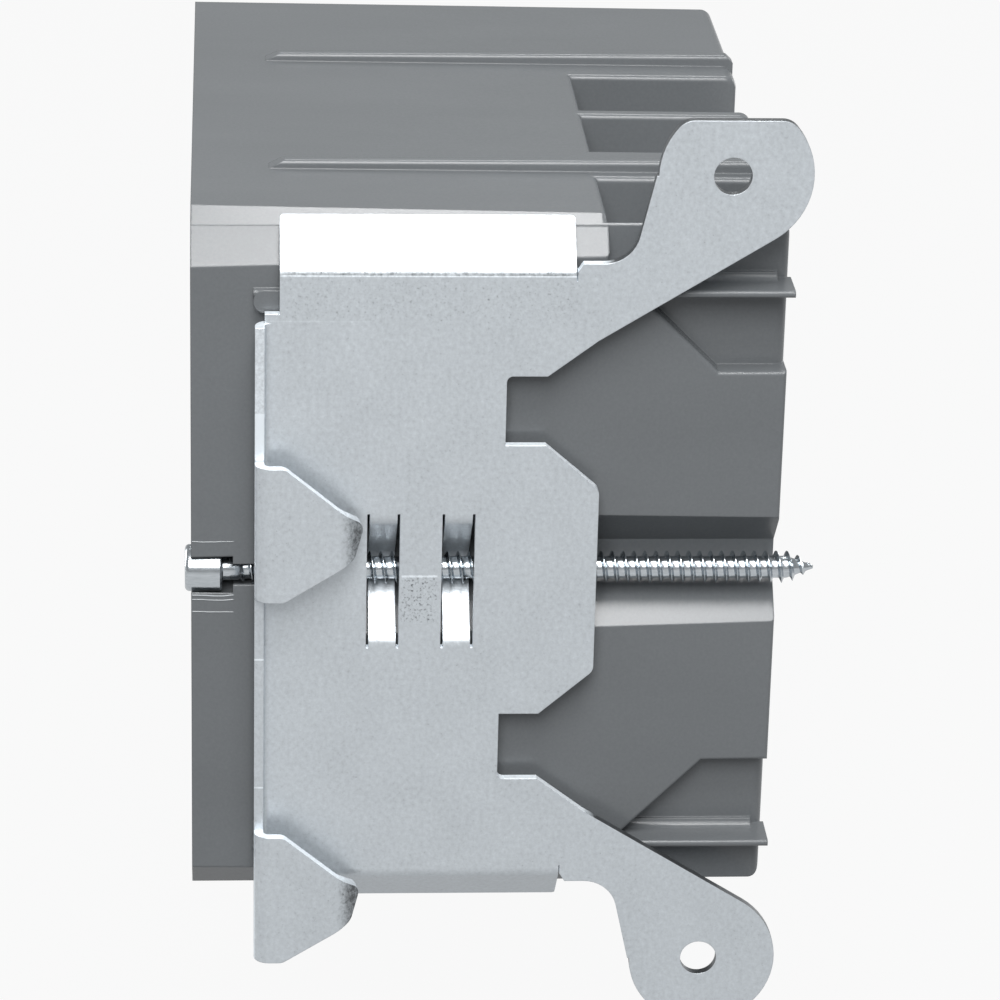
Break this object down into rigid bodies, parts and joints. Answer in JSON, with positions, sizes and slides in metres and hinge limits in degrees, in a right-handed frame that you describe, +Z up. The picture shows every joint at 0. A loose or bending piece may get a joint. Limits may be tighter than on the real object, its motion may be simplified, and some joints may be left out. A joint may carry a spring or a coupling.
{
  "type": "adjustable switch box",
  "caption": "Moulded plastic wall box for switches that slides in a folded sheet-steel stud bracket and is set in depth by a long side screw.",
  "frame": {"origin": "on the stud face of the bracket, midway between its two nail holes", "axes": "+X out of the box's side to the stud, +Y back into the wall from the box's open front, +Z up"},
  "size_m": [0.1104, 0.0805, 0.1222],
  "materials": {
    "moulded_plastic": "satin grey moulded plastic",
    "galvanized_sheet": "galvanized sheet with fine spangle",
    "zinc_plated_screw": "bright zinc plate"
  },
  "bodies": {
    "bracket": {"mounting_bracket": "galvanized_sheet"},
    "box": {"box_body": "moulded_plastic"},
    "screw": {"depth_screw": "zinc_plated_screw"}
  },
  "joints": [
    {"name": "depth_slide", "type": "slide", "parent": "bracket", "child": "box", "axis": [0, 1, 0], "range_m": [-0.016, 0.008]},
    {"name": "screw_turn", "type": "hinge", "parent": "box", "child": "screw", "pos_m": [-0.0047, -0.0666, 0], "axis": [0, 1, 0], "range_deg": [-4090, 2050]}
  ],
  "couplings": [
    {"joint": "screw_turn", "follows": "depth_slide", "rad_per_m": 4452.7}
  ]
}
